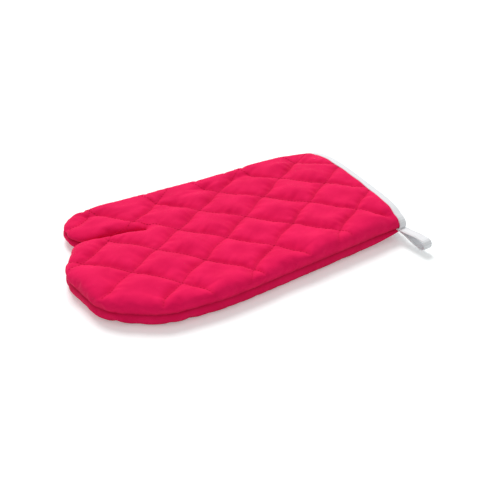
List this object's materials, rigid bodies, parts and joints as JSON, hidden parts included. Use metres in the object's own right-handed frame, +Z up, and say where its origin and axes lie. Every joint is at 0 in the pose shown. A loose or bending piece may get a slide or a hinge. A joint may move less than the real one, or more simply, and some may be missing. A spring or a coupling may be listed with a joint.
{
  "type": "oven mitt",
  "caption": "Quilted cotton oven mitt with thumb, lying flat on its palm, with a bound cuff opening and a tape hanging loop that swings.",
  "frame": {"origin": "middle of the footprint, on the surface the mitt lies on, with the loop counted", "axes": "+Y from the cuff to the fingertips, +X to the thumb side, +Z up out of the back of the hand"},
  "size_m": [0.1964, 0.2994, 0.027],
  "materials": {
    "crimson_cotton": "plain-weave cotton, matt",
    "wadding": "lofted fibre wadding",
    "lining_cotton": "plain-weave cotton, matt",
    "crimson_thread": "spun sewing thread",
    "white_tape": "folded cotton tape, matt",
    "white_thread": "spun sewing thread"
  },
  "bodies": {
    "mitt": {"back_shell": "crimson_cotton", "back_wadding": "wadding", "back_lining": "lining_cotton", "back_quilting_thread": "crimson_thread", "palm_shell": "crimson_cotton", "palm_wadding": "wadding", "palm_lining": "lining_cotton", "palm_quilting_thread": "crimson_thread", "side_seam_thread": "crimson_thread", "cuff_binding": "white_tape", "binding_stitch": "white_thread", "loop_tab": "white_tape", "loop_bar_tack": "white_thread"},
    "loop": {"hanging_loop": "white_tape"}
  },
  "joints": [
    {"name": "loop_swing", "type": "hinge", "parent": "mitt", "child": "loop", "pos_m": [-0.06789, -0.1401, 0.011], "axis": [-0.1736, 0.9848, 0], "range_deg": [-90, 90]}
  ]
}
